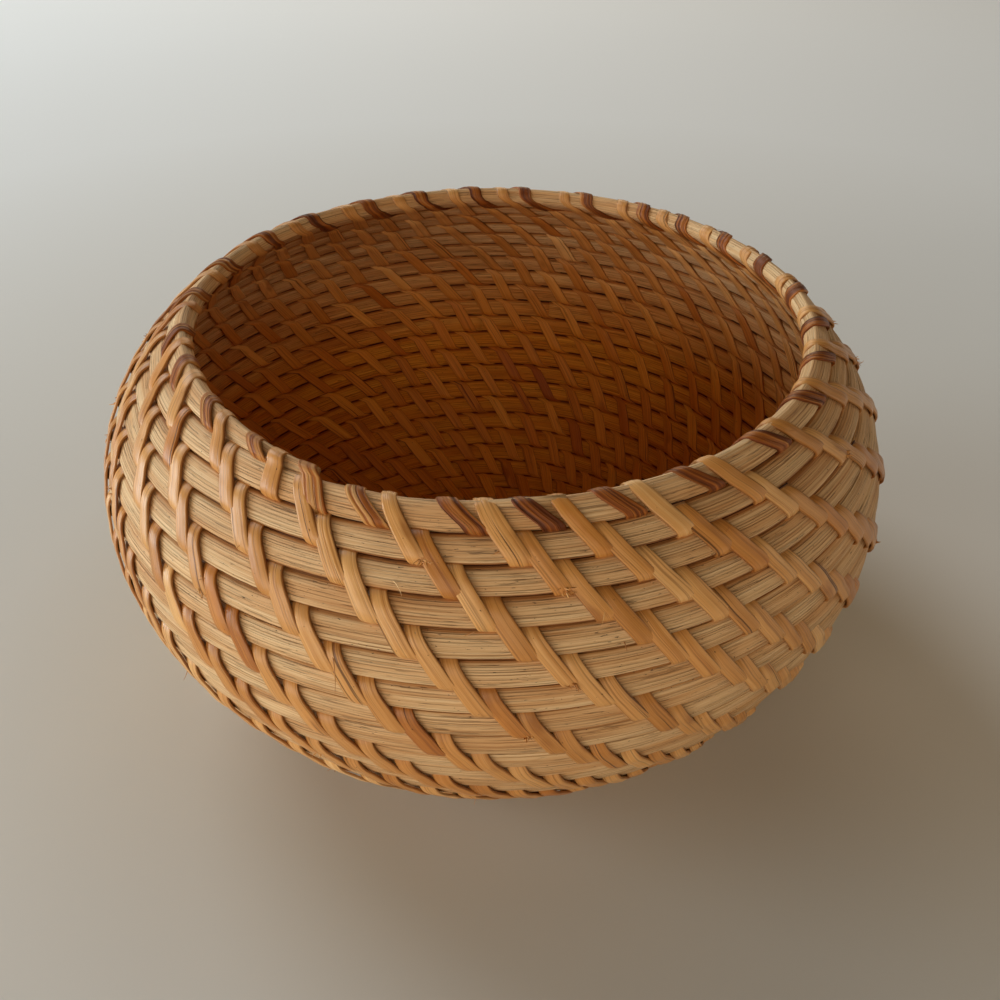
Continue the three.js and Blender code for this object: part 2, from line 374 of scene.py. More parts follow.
def slow_waves(turn, waves):
    """A smooth random value along the coil. Each row of waves adds a few of about its wavelength."""
    total = np.zeros_like(turn)
    for seed, size, length in waves:
        rng = np.random.default_rng(seed)
        part = np.zeros_like(turn)
        for _ in range(WAVES_ADDED):
            wave = length * rng.uniform(*WAVELENGTH_SPREAD)
            part = part + np.sin(turn / wave * 2 * math.pi + rng.uniform(*WAVE_START))
        total = total + size * part / WAVES_ADDED
    return total


def groove_wave(turn):
    """How far the groove above the coil wanders up or down."""
    return slow_waves(turn, GROOVE_WAVES)


def depth_wave(turn):
    """How far the coil stands out of the wall or back from it."""
    return slow_waves(turn, DEPTH_WAVES)


def stitch_rows():
    """Turn angles of the stitches, a list of rows from the rim down to the middle of the base.

    Each stitch lies one shift to the right of the one above it, and where the pitch gets too small every
    second one is left out.
    """
    row = COIL_END - RIM_END_ANGLE + FULL_TURN + np.array(TOP_STITCHES)
    rows = [row]
    while True:
        row = row - FULL_TURN
        row = row + STITCH_SHIFT / np.maximum(coil_radius(row), LEAST_SHIFT_RADIUS) / RAD
        if row.min() < FULL_TURN:
            return rows
        if FULL_TURN / len(row) * RAD * coil_radius(row).mean() < LEAST_STITCH_PITCH:
            row = row[::2]
        rows.append(row)


ROWS = stitch_rows()
STITCHES = np.sort(np.concatenate(ROWS))


def mesh_object(name, grids, attributes):
    """One mesh from grids of points that close round their second axis. Each grid gets two end caps."""
    quads = []
    caps = []
    start = 0
    for grid in grids:
        rings, sides = grid.shape[:2]
        corner = start + np.arange(rings * sides).reshape(rings, sides)
        beside = np.roll(corner, -1, axis=1)
        quads.append(np.stack([corner[:-1], beside[:-1], beside[1:], corner[1:]], axis=-1).reshape(-1, 4))
        caps += [corner[0, ::-1], corner[-1]]
        start += rings * sides
    points = np.concatenate([grid.reshape(-1, 3) for grid in grids]) * MM
    quads = np.concatenate(quads)
    loops = np.concatenate([quads.ravel(), *caps])
    counts = np.concatenate([np.full(len(quads), 4), [len(cap) for cap in caps]])
    mesh = bpy.data.meshes.new(name)
    mesh.vertices.add(len(points))
    mesh.vertices.foreach_set("co", points.astype(np.float32).ravel())
    mesh.loops.add(len(loops))
    mesh.loops.foreach_set("vertex_index", loops.astype(np.int32))
    mesh.polygons.add(len(counts))
    starts = np.concatenate([[0], np.cumsum(counts)[:-1]])
    mesh.polygons.foreach_set("loop_start", starts.astype(np.int32))
    mesh.update(calc_edges=True)
    for key in attributes[0]:
        values = np.concatenate([extra[key].reshape(-1, 3) for extra in attributes])
        layer = mesh.attributes.new(key, "FLOAT_VECTOR", "POINT")
        layer.data.foreach_set("vector", values.astype(np.float32).ravel())
    mesh.shade_smooth()
    obj = bpy.data.objects.new(name, mesh)
    bpy.context.scene.collection.objects.link(obj)
    return obj


def coil_distance(turn):
    """Length along the coil up to each turn angle, in millimetres."""
    steps = np.arange(0, COIL_END + 1, 1.0)
    pieces = coil_radius(steps) * RAD
    return np.interp(turn, steps, np.concatenate([[0], np.cumsum(pieces[1:])]))


def degrees(length, turn):
    """The turn angle that a length along the coil takes at this place of it."""
    return length / np.maximum(coil_radius(turn), LEAST_RADIUS) / RAD


def rod_knots(count):
    """Turn angles where the rods of the core meet, each just under a stitch that covers the joint."""
    base_end = STITCHES[np.searchsorted(coil_radius(STITCHES), FOOT_RADIUS)]
    knots = [0.0]
    for number in range(count - 1):
        wanted = base_end + number * ROD_ANGLE
        stitch = STITCHES[np.argmin(np.abs(STITCHES - wanted))]
        knots.append(float(stitch + degrees(STITCH_RUN / 4, stitch)))
    return [*knots, COIL_END + COIL_TIP]


def core_outline():
    """The rod's section from the middle of its lower edge: up and out as shares, and the length round it."""
    phase = math.pi + np.linspace(0, 2 * math.pi, CORE_SIDES, endpoint=False)
    phase = phase - CORE_CORNER_SPREAD * np.sin(4 * phase)
    power = 2 / CORE_SQUARENESS
    up = np.sign(np.cos(phase)) * np.abs(np.cos(phase)) ** power
    out = np.sign(np.sin(phase)) * np.abs(np.sin(phase)) ** power
    steps = np.hypot(np.diff(up) * CORE_HALF_HEIGHT, np.diff(out) * CORE_HALF_THICKNESS)
    return up, out, np.concatenate([[0], np.cumsum(steps)])


def under_next(turn):
    """1 where another coil lies on top of this one, 0 along the top coil."""
    return smooth_step((COIL_END - FULL_TURN - turn) / TOP_COIL_CHANGE)


def stacked(parts, shape):
    return np.stack([np.broadcast_to(part, shape).astype(float) for part in parts], axis=-1)


def core_section(turn, inner, outer, seed):
    """Rings of the rod between two depths, with what the material needs to know at each point."""
    up, out, around = core_outline()
    rise = (1 + up) / 2
    column = turn[:, None]
    edge = CORE_HALF_HEIGHT * up + rise * groove_wave(column) + (1 - rise) * groove_wave(column - FULL_TURN)
    chamfer = CORE_CHAMFER * np.clip((up - CORE_CHAMFER_START) / (1 - CORE_CHAMFER_START), 0, 1)
    covered = under_next(column)
    cut = (CORE_LEAN * rise + chamfer) * np.clip(out, 0, 1) * covered
    raw = CORE_HALF_THICKNESS * out - cut
    share = (raw + CORE_HALF_THICKNESS) / (2 * CORE_HALF_THICKNESS)
    depth = inner[:, None] + share * (outer - inner)[:, None]
    depth = depth * (1 - END_THINNING + END_THINNING * end_taper(column)) + depth_wave(column)
    grid = beside_coil(column, edge, depth)
    shape = grid.shape[:2]
    rod = [coil_distance(column), around[None, :], seed]
    shade = np.random.default_rng(seed).uniform()
    faces_in = smooth_step((INNER_FACE_START - out) / INNER_FACE_CHANGE)
    # The first entry, the share up a coil that another coil lies on, places the core's painted shade along
    # the grooves.
    mood = [0.5 + (rise - 0.5) * covered, shade, faces_in]
    return grid, {"rod": stacked(rod, shape), "mood": stacked(mood, shape)}


def start_knot(seed):
    """The small rounded knot in the middle of the base, where the coil starts."""
    rise = np.linspace(START_KNOT_POLE, 1 - START_KNOT_POLE, START_KNOT_RINGS)[:, None] * math.pi
    phase = np.linspace(0, 2 * math.pi, CORE_SIDES, endpoint=False)[None, :]
    reach = START_KNOT_RADIUS * np.sqrt(np.sin(rise))
    height = BASE_CORE_HEIGHT + BASE_LIFT + START_KNOT_HALF_HEIGHT * np.cos(rise)
    shape = (START_KNOT_RINGS, CORE_SIDES)
    grid = stacked([reach * np.cos(phase), reach * np.sin(phase), height], shape)
    rod = stacked([grid[..., 0], grid[..., 1], seed], shape)
    # The knot's upper half takes the inner side's painted shade.
    return grid, {"rod": rod, "mood": stacked([0.5, 0.5, np.cos(rise) > 0], shape)}


def core_rod(name, start, end, seed, first, last):
    """One rod, with a scarf at each end that meets another rod: the next rod's tip lies inside."""
    depth = CORE_HALF_THICKNESS
    scarf = 0 if first else degrees(SCARF_LENGTH, start)
    turn = np.arange(start - scarf, end - CORE_STEP_ANGLE / 2, CORE_STEP_ANGLE)
    turn = np.append(turn, end)
    inner = np.full_like(turn, -depth)
    outer = np.full_like(turn, depth)
    if not first:
        outer = np.minimum(depth, -depth + SCARF_TIP + (turn - turn[0]) / scarf * 2 * depth)
    if not last:
        share = 1 - (end - turn) / degrees(SCARF_LENGTH, end)
        inner = np.maximum(-depth, -depth + share * (2 * depth - SCARF_TIP))
    pieces = [core_section(turn, inner, outer, seed)]
    if first:
        pieces.append(start_knot(seed))
    return mesh_object(name, [grid for grid, _ in pieces], [values for _, values in pieces])


def strip_profile(rng):
    """The strip's section, a closed ring: place across it from -1 to 1, and share of its thickness."""
    half = np.array([1, 1, 0.95, 0.76, 0.5, 0.25])
    crown = np.array([0.1, 0.66, 0.84, 0.96, 1.04, 1.08])
    top = np.concatenate([half, [0], -half[::-1]])
    height = np.concatenate([crown, [1.12], crown[::-1]])
    ridges = rng.uniform(*RIDGE_SPREAD, len(top)) * (height > RIDGES_ABOVE)
    underside = [-0.5, 0.5]
    return np.concatenate([top, underside]), np.concatenate([height + ridges, [0, 0]])


def climbed(share, low_pass, top_pass):
    """Share of its run that a climbing strip has made: it slants most where it passes between the coils."""
    low = np.clip(share / LOW_PASS_END, 0, 1)
    top = np.clip((share - TOP_PASS_START) / (1 - TOP_PASS_START), 0, 1)
    return low_pass * low + (1 - low_pass - top_pass) * share + top_pass * top


def leg_path(steps, side, turns, ups, sharpness, lift, winding):
    """One leg of a stitch, down outside (side 1) or up inside (side -1): turn angle, up, out and width."""
    share = (1 - np.cos(np.linspace(0, math.pi, steps, endpoint=False))) / 2
    sharp = np.where(share < 0.5, *sharpness)
    ends = (1 - np.abs(2 * share - 1) ** sharp) ** 0.5
    bulge = STRIP_BULGE * np.sin(math.pi * winding.span * share) ** 2 + lift * share
    height = share if side < 0 else 1 - share
    top = smooth_step((height - (1 - TOP_PINCH_SHARE)) / TOP_PINCH_SHARE)
    low = smooth_step((LOW_PINCH_SHARE - height) / LOW_PINCH_SHARE)
    run = share**STRIP_BEND if side > 0 else climbed(share, *winding.passes)
    turn = turns[0] + (turns[1] - turns[0]) * run
    up = ups[0] + (ups[1] - ups[0]) * share
    out = side * ends * (CORE_HALF_THICKNESS - STRIP_SUNK + bulge)
    return turn, up, out, 1 - (TOP_PINCH * top + LOW_PINCH * low)


def stitch_path(start, end, next_start, winding):
    """Middle line of a stitch and its climb inside: turn angle, up and out beside its coil, and width."""
    low = -(winding.span - 0.5) * COIL_PITCH
    high = COIL_PITCH / 2
    lift = STRIP_LIFT * smooth_step((coil_radius(start) - FOOT_RADIUS) / STRIP_LIFT_REACH)
    bends_down = (TOP_SHARPNESS, LOW_SHARPNESS)
    bends_up = (LOW_SHARPNESS, INNER_TOP_SHARPNESS)
    outside = leg_path(OUTSIDE_STEPS, 1, (start, end), (high, low), bends_down, lift, winding)
    inside = leg_path(INSIDE_STEPS, -1, (end, next_start), (low, high), bends_up, 0, winding)
    return [np.concatenate(part) for part in zip(outside, inside)]


def strip_line(starts, next_start, winding, tones, rng):
    """Middle line of a strip: turn angle, up, out, tone, tint and share of the width. Tones may be given."""
    starts = np.append(starts, next_start)
    stretches = []
    for number, (start, after) in enumerate(zip(starts[:-1], starts[1:])):
        length = degrees(winding.run * rng.uniform(*RUN_SPREAD), start)
        if winding.longest:
            length = min(length, winding.longest * (after - start))
        turn, up, out, wide = stitch_path(start, start + length, after, winding)
        drawn = np.clip(rng.normal(*TONE_SPREAD), 0, 1)
        tone = np.full_like(turn, tones[number] if number < len(tones) else drawn)
        tint = np.full_like(turn, rng.uniform())
        stretches.append((turn, up, out, tone, tint, wide * rng.uniform(*WIDTH_SPREAD)))
    return [np.concatenate(part) for part in zip(*stretches)]


def strip_grid(starts, next_start, winding, seed, tones=()):
    """One unbroken strip through a run of stitches, as a grid of points with what its material needs."""
    rng = np.random.default_rng(seed)
    turn, up, out, tone, tint, wide = strip_line(starts, next_start, winding, tones, rng)
    up_slope = np.gradient(up)
    out_slope = np.gradient(out)
    slope = np.hypot(up_slope, out_slope) + 1e-9
    across, height = strip_profile(rng)
    thick = STRIP_THICKNESS * height[None, :]
    step_along = np.hypot(np.diff(up), np.diff(turn) * coil_radius(turn[:-1]) * RAD)
    distance = np.concatenate([[0], np.cumsum(step_along)])
    waves = 1
    for number, (size, length) in enumerate(WIDTH_WAVES, 1):
        waves = waves + size * np.sin(distance / length + number * seed)
    half = winding.width / 2 * wide * waves
    beside = degrees(half[:, None] * across[None, :], turn[:, None])
    on_start_coil = smooth_step((up + COIL_PITCH / 2) / COIL_CHANGE + 0.5)
    follow = on_start_coil * depth_wave(turn) + (1 - on_start_coil) * depth_wave(turn - FULL_TURN)
    out = np.where(out < 0, out * (1 - END_THINNING * (1 - end_taper(turn)) * on_start_coil), out)
    grid = beside_coil(
        turn[:, None] + beside,
        up[:, None] + (out_slope / slope)[:, None] * thick,
        out[:, None] + follow[:, None] - (up_slope / slope)[:, None] * thick,
    )
    shape = beside.shape
    cane = stacked([distance[:, None], across[None, :], seed], shape)
    # The last entry, the share on the inner side, takes the painted shade and the duller shine.
    mood = stacked([tone[:, None], tint[:, None], smooth_step(0.5 - out / SIDE_CHANGE)[:, None]], shape)
    return grid, {"cane": cane, "mood": mood}


def wall_frame(turn, up, out):
    """A point beside the coil and the unit directions along it, up the wall and out of it."""
    small_turn = 0.1
    small_length = 0.2
    point = beside_coil(turn, up, out)
    around = beside_coil(turn + small_turn, up, out) - point
    rise = beside_coil(turn, up + small_length, out) - point
    away = beside_coil(turn, up, out + small_length) - point
    return point, np.stack([d / np.linalg.norm(d) for d in (around, rise, away)])


def place_on_wall(angle, height):
    """The turn angle, and how far up beside that coil, of a place given by its angle and height."""
    turns = COIL_END - (RIM_END_ANGLE - angle) % FULL_TURN - FULL_TURN * np.arange(TURNS_SEARCHED)
    heights = beside_coil(turns, 0, 0)[:, 2]
    nearest = np.argmin(np.abs(heights - height))
    return turns[nearest], height - heights[nearest]


def nearest_stitch(angle, height):
    """The stitch whose lower end is nearest to a place given by its angle and height."""
    ends = STITCHES + degrees(STITCH_RUN, STITCHES)
    away = (round_angle(ends) - angle + HALF_TURN) % FULL_TURN - HALF_TURN
    rise = beside_coil(ends, -1.5 * COIL_PITCH, 0)[:, 2] - height
    return STITCHES[np.argmin(np.hypot(away * RAD * BELLY_RADIUS, rise))]


def fibre(turn, up, out, heading, length, radius, tone, rng, curl_size=FIBRE_CURL):
    """One loose fibre: a thin tapered tube that starts at the wall and curls as it goes."""
    start, frame_here = wall_frame(turn, up, out)
    share = np.linspace(0, 1, FIBRE_STEPS)
    curl = rng.normal(0, curl_size, 3)
    direction = (np.array(heading) + share[:, None] * curl) @ frame_here
    direction /= np.linalg.norm(direction, axis=1)[:, None]
    points = start + np.cumsum(direction, axis=0) * length / FIBRE_STEPS
    side_a = np.cross(direction, frame_here[0] + 0.1)
    side_a /= np.linalg.norm(side_a, axis=1)[:, None]
    side_b = np.cross(direction, side_a)
    phase = np.linspace(0, 2 * math.pi, FIBRE_SIDES, endpoint=False)[None, :, None]
    ring = np.cos(phase) * side_a[:, None, :] + np.sin(phase) * side_b[:, None, :]
    thick = radius * (1 - FIBRE_TAPER * share)
    grid = points[:, None, :] + thick[:, None, None] * ring
    shape = grid.shape[:2]
    cane = stacked([share[:, None] * length, FIBRE_ACROSS, rng.uniform(*FIBRE_GRAINS)], shape)
    return grid, {"cane": cane, "mood": stacked([tone, 0.5, 0], shape)}


def torn_end(stitch, rng):
    """A tuft of short fibres where the skin of a strip has split at its lower bend."""
    fibres = []
    middle = rng.uniform(*TORN_MIDDLE)
    for _ in range(rng.integers(*TORN_COUNT)):
        back = rng.uniform(*TORN_BACK)
        across = middle + rng.uniform(*TORN_ACROSS)
        turn = stitch + degrees(STITCH_RUN * (1 - back) + across * STRIP_WIDTH, stitch)
        up = (0.5 - 2 * (1 - back)) * COIL_PITCH
        out = CORE_HALF_THICKNESS + STRIP_THICKNESS * rng.uniform(*TORN_DEPTH)
        heading = (rng.normal(*TORN_ALONG), rng.uniform(*TORN_UP), rng.uniform(*TORN_OUT))
        radius = FIBRE_RADIUS * rng.uniform(*TORN_RADIUS)
        length = rng.uniform(*TORN_LENGTH)
        tone = rng.uniform(*TORN_TONE)
        fibres.append(fibre(turn, up, out, heading, length, radius, tone, rng, TORN_CURL))
    return fibres


def linear(red, green, blue):
    """A colour as it looks on a screen, 0 to 255, as the linear values that a shader takes."""
    shares = (red / 255, green / 255, blue / 255)
    return (*(((v + 0.055) / 1.055) ** 2.4 if v > 0.04 else v / 12.92 for v in shares), 1)


def grey(value):
    return (value, value, value, 1)


class Shader:
    """A small helper to build a node material in a few lines."""

    def __init__(self, name):
        self.material = bpy.data.materials.new(name)
        self.material.use_nodes = True
        self.nodes = self.material.node_tree.nodes
        self.links = self.material.node_tree.links
        self.surface = self.nodes["Principled BSDF"]

    def add(self, kind, inputs=None, **settings):
        node = self.nodes.new(kind)
        for key, value in settings.items():
            setattr(node, key, value)
        for key, value in (inputs or {}).items():
            self.put(node.inputs[key], value)
        return node

    def put(self, socket, value):
        if isinstance(value, bpy.types.NodeSocket):
            self.links.new(value, socket)
        else:
            socket.default_value = value

    def attribute(self, name):
        return self.add("ShaderNodeAttribute", attribute_name=name).outputs["Vector"]

    def stretched(self, vector, scale):
        return self.add("ShaderNodeVectorMath", {0: vector, 1: scale}, operation="MULTIPLY").outputs[0]

    def noise(self, vector, scale, detail=3.0, roughness=0.55):
        """Noise with a scale of its own along the piece, across it and from seed to seed."""
        inputs = {"Scale": 1.0, "Detail": detail, "Roughness": roughness}
        inputs["Vector"] = self.stretched(vector, scale)
        return self.add("ShaderNodeTexNoise", inputs).outputs["Fac"]

    def ramp(self, value, *stops):
        node = self.add("ShaderNodeValToRGB", {"Fac": value})
        elements = node.color_ramp.elements
        while len(elements) < len(stops):
            elements.new(0.5)
        for element, (place, color) in zip(elements, stops):
            element.position = place
            element.color = color
        return node.outputs["Color"]

    def mix(self, share, a, b, kind="MIX"):
        node = self.add("ShaderNodeMix", data_type="RGBA", blend_type=kind)
        self.put(node.inputs["Factor"], share)
        self.put(node.inputs["A"], a)
        self.put(node.inputs["B"], b)
        return node.outputs["Result"]

    def math(self, operation, a, b):
        return self.add("ShaderNodeMath", {0: a, 1: b}, operation=operation).outputs[0]

    def part(self, vector, axis):
        return self.add("ShaderNodeSeparateXYZ", {0: vector}).outputs[axis]

    def bump(self, height, distance, strength=1.0):
        inputs = {"Height": height, "Distance": distance, "Strength": strength}
        return self.add("ShaderNodeBump", inputs).outputs["Normal"]

    def marks(self, color, mask, strength, mark_color):
        """The colour with marks of another one where the mask is 1."""
        return self.mix(self.math("MULTIPLY", mask, strength), color, mark_color)


def inside_shade_share(s, mood):
    """How much of the inner side's painted shade a point takes."""
    height = s.part(s.add("ShaderNodeTexCoord").outputs["Object"], "Z")
    deep = s.add("ShaderNodeMapRange", {"Value": height, 1: INSIDE_SHADE_FROM, 2: INSIDE_SHADE_TO, 3: 0.0, 4: 1.0})
    return s.math("MULTIPLY", s.part(mood, "Z"), deep.outputs[0])


# Painted shade: the inner side's colour multiplied by amber, more so deeper inside the basket.
def painted_inside_shade(s, color, mood, amber):
    return s.mix(inside_shade_share(s, mood), color, s.mix(1.0, color, amber, "MULTIPLY"))


def duller_inside(s, mood, outside, inside):
    """Roughness: the inner side has lost its shine."""
    return s.math("ADD", s.math("MULTIPLY", s.part(mood, "Z"), inside - outside), outside)


def core_material():
    """Peeled rattan core: pale straw with fine even grooves along it, short dark dashes and small pits, with
    painted shade along the crevices between coils and on the inner side.
    """
    s = Shader("core_rattan")
    rod = s.attribute("rod")
    mood = s.attribute("mood")
    broad = s.noise(rod, (0.02, 0.22, 3.1), 2)
    fibre_noise = s.noise(rod, (0.02, 3.2, 9.3), 3, 0.6)
    dashes = s.noise(rod, (0.10, 2.6, 4.1), 2, 0.55)
    pits = s.noise(rod, (0.7, 3.0, 2.7), 2, 0.5)
    fade = s.noise(rod, (0.045, 0.45, 6.3), 2)
    wavy = {"Scale": 1.0, "Distortion": 9.0, "Detail": 1.0, "Detail Scale": 1.3}
    wavy["Vector"] = s.stretched(rod, (0.004, 0.37, 5.7))
    waves = s.add("ShaderNodeTexWave", wavy, bands_direction="Y").outputs["Fac"]
    color = s.ramp(
        fibre_noise,
        (0.34, linear(202, 162, 118)),
        (0.46, linear(224, 190, 150)),
        (0.64, linear(238, 212, 176)),
    )
    tint = s.ramp(broad, (0.36, linear(236, 204, 158)), (0.60, linear(255, 246, 224)))
    color = s.mix(0.8, color, tint, "MULTIPLY")
    groove = s.ramp(waves, (0.74, grey(0)), (0.93, grey(1)))
    strength = s.ramp(fade, (0.38, grey(0.12)), (0.58, grey(0.8)))
    groove = s.math("MULTIPLY", groove, strength)
    color = s.marks(color, groove, 0.5, linear(146, 100, 56))
    dash = s.ramp(dashes, (0.30, grey(1)), (0.35, grey(0)))
    color = s.marks(color, dash, 0.5, linear(112, 70, 34))
    pit = s.ramp(pits, (0.25, grey(1)), (0.29, grey(0)))
    color = s.marks(color, pit, 0.85, linear(60, 32, 14))
    share_up = s.part(mood, "X")
    # Painted shade: darker at the lower edge and in the crevice under the coil above, near black deep in it.
    painted_groove_shade = s.ramp(
        share_up,
        (0.03, linear(178, 140, 104)),
        (0.07, grey(1)),
        (0.82, grey(1)),
        (0.87, linear(230, 208, 180)),
        (0.945, linear(196, 160, 120)),
        (0.972, linear(84, 50, 26)),
    )
    color = s.mix(1.0, color, painted_groove_shade, "MULTIPLY")
    s.put(s.surface.inputs["Base Color"], painted_inside_shade(s, color, mood, CORE_INSIDE_SHADE))
    s.put(s.surface.inputs["Roughness"], duller_inside(s, mood, 0.6, 0.8))
    s.surface.inputs["Specular IOR Level"].default_value = 0.35
    relief = s.math("SUBTRACT", s.math("MULTIPLY", fibre_noise, 0.8), groove)
    relief = s.math("SUBTRACT", relief, s.math("MULTIPLY", s.math("ADD", dash, pit), 0.8))
    s.put(s.surface.inputs["Normal"], s.bump(relief, 0.0003, 1.0))
    return s.material


def cane_material():
    """Cane strip with its skin on: satin, with lengthwise lines, dark specks and some brown patches, edges
    darker from wear and painted contact shadow, and painted shade on the inner side.
    """
    s = Shader("cane_strip")
    cane = s.attribute("cane")
    mood = s.attribute("mood")
    bands = s.noise(cane, (0.02, 2.6, 7.7), 3, 0.6)
    lines = s.noise(cane, (0.02, 5.0, 3.3), 3, 0.6)
    splits = s.noise(cane, (0.012, 2.6, 2.1), 2, 0.5)
    specks = s.noise(cane, (0.9, 3.0, 1.3), 2, 0.5)
    patches = s.noise(cane, (0.06, 0.4, 5.1), 2, 0.5)
    tone = s.math("ADD", s.math("MULTIPLY", s.part(mood, "X"), 0.52), s.math("MULTIPLY", bands, 0.5))
    color = s.ramp(
        tone,
        (0.24, linear(174, 110, 46)),
        (0.38, linear(196, 134, 66)),
        (0.52, linear(214, 155, 88)),
        (0.66, linear(229, 176, 110)),
        (0.80, linear(238, 198, 140)),
    )
    tint = s.ramp(
        s.part(mood, "Y"),
        (0.60, grey(1)),
        (0.90, linear(250, 240, 222)),
        (0.97, linear(236, 214, 176)),
    )
    color = s.mix(1.0, color, tint, "MULTIPLY")
    line = s.ramp(lines, (0.36, grey(1)), (0.46, grey(0)))
    color = s.marks(color, line, 0.5, linear(134, 76, 30))
    split = s.ramp(splits, (0.28, grey(1)), (0.32, grey(0)))
    color = s.marks(color, split, 0.8, linear(86, 44, 16))
    speck = s.ramp(specks, (0.23, grey(1)), (0.27, grey(0)))
    color = s.marks(color, speck, 0.75, linear(84, 40, 14))
    patch = s.ramp(patches, (0.63, grey(0)), (0.74, grey(1)))
    color = s.marks(color, patch, 0.6, linear(150, 88, 34))
    across = s.part(cane, "Y")
    # Darker edges: partly rough, dirty edges and partly painted contact shadow where the strip meets the
    # core.
    edge = s.ramp(s.math("MULTIPLY", across, across), (0.78, grey(0)), (0.96, grey(1)))
    color = s.marks(color, edge, 0.5, linear(120, 68, 28))
    s.put(s.surface.inputs["Base Color"], painted_inside_shade(s, color, mood, CANE_INSIDE_SHADE))
    s.put(s.surface.inputs["Roughness"], duller_inside(s, mood, 0.36, 0.6))
    s.surface.inputs["Specular IOR Level"].default_value = 0.5
    relief = s.math("SUBTRACT", s.math("MULTIPLY", lines, 0.6), s.math("ADD", split, speck))
    s.put(s.surface.inputs["Normal"], s.bump(relief, 0.00025, 0.9))
    return s.material


def rim_material():
    """Dark cane of the rim: glossy orange to brown skin in split bands, tan where the skin is off, with
    painted shade on the inner side.
    """
    s = Shader("cane_rim")
    cane = s.attribute("cane")
    mood = s.attribute("mood")
    bands = s.noise(cane, (0.02, 2.1, 4.7), 2, 0.5)
    lines = s.noise(cane, (0.03, 4.0, 2.3), 3, 0.6)
    tone = s.math("ADD", s.math("MULTIPLY", s.part(mood, "X"), 0.4), s.math("MULTIPLY", bands, 0.6))
    color = s.ramp(
        tone,
        (0.37, linear(94, 46, 20)),
        (0.45, linear(128, 68, 28)),
        (0.53, linear(172, 102, 42)),
        (0.60, linear(196, 140, 78)),
        (0.72, linear(206, 158, 102)),
    )
    line = s.ramp(lines, (0.32, grey(1)), (0.44, grey(0)))
    color = s.marks(color, line, 0.5, linear(84, 40, 14))
    s.put(s.surface.inputs["Base Color"], painted_inside_shade(s, color, mood, CANE_INSIDE_SHADE))
    s.surface.inputs["Roughness"].default_value = 0.42
    s.surface.inputs["Specular IOR Level"].default_value = 0.25
    relief = s.math("SUBTRACT", s.math("MULTIPLY", bands, 1.6), s.math("MULTIPLY", line, 0.8))
    s.put(s.surface.inputs["Normal"], s.bump(relief, 0.00035, 1.0))
    return s.material


def floor_material():
    """Pale floor, a little darker close to the basket, with a colour that follows the distance from it:
    partly painted light, paler further off where the lamps' light falls off.
    """
    s = Shader("floor")
    coordinates = s.add("ShaderNodeTexCoord").outputs["Object"]
    away = s.add("ShaderNodeVectorMath", {0: coordinates}, operation="LENGTH").outputs["Value"]
    # Partly painted light: paler away from the basket, to even out the lamps' falloff with distance.
    color = s.ramp(
        away,
        (0.12, linear(204, 200, 190)),
        (0.19, linear(219, 217, 211)),
        (0.62, linear(240, 243, 244)),
        (1.0, linear(243, 247, 249)),
    )
    s.put(s.surface.inputs["Base Color"], color)
    s.surface.inputs["Roughness"].default_value = 0.85
    s.surface.inputs["Specular IOR Level"].default_value = 0.2
    return s.material


def show(piece, material, slot, *nodes):
    """Gives a new piece its material and body, and hides the solids that it stands for. The slot is not used.
    """
    piece.data.materials.append(material)
    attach(piece, "root")
    if nodes:
        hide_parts(*nodes)


def build_core():
    """The rods, one for each rod of the solids, from the middle of the base to the coil's end."""
    names = ["base_core", *sorted(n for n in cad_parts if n.startswith("wall_core")), "rim_core"]
    knots = rod_knots(len(names))
    material = core_material()
    for i, name in enumerate(names):
        seed = ROD_SEED + ROD_SEED_STEP * i
        rod = core_rod("rod_" + name, knots[i], knots[i + 1], seed, i == 0, i == len(names) - 1)
        show(rod, material, "core", name)


def build_binding(material):
    """The rows of stitches from the rim down. Those below the last row of the solids are one piece."""
    bound = sorted(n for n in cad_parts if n.startswith("binding_row"))
    extra = []
    for i, row in enumerate(ROWS):
        after = ROWS[i - 1].min() if i else COIL_END
        strip = strip_grid(np.sort(row), after, STITCHING, STRIP_SEED + i)
        if i < len(bound):
            name = bound[-1 - i]
            show(mesh_object("cane_" + name, [strip[0]], [strip[1]]), material, "cane", name)
        else:
            extra.append(strip)
    base_rows = mesh_object("cane_base_rows", [e[0] for e in extra], [e[1] for e in extra])
    show(base_rows, material, "cane")


def build_rim():
    """The wraps round the top coil, and the tie over the coil's end."""
    wraps = np.sort(ROWS[0])
    wraps = wraps - degrees(RIM_WRAP_LEAD, wraps)
    strip = strip_grid(wraps, COIL_END - RIM_WRAP_STOP, RIM_WRAPPING, RIM_WRAP_SEED, RIM_WRAP_TONES)
    end = COIL_END + END_WRAP
    tie = strip_grid([end], end - END_WRAP_BACK, END_TYING, END_WRAP_SEED, (END_WRAP_TONE,))
    binding = mesh_object("cane_rim_binding", [strip[0], tie[0]], [strip[1], tie[1]])
    show(binding, rim_material(), "rim_cane", "rim_binding")


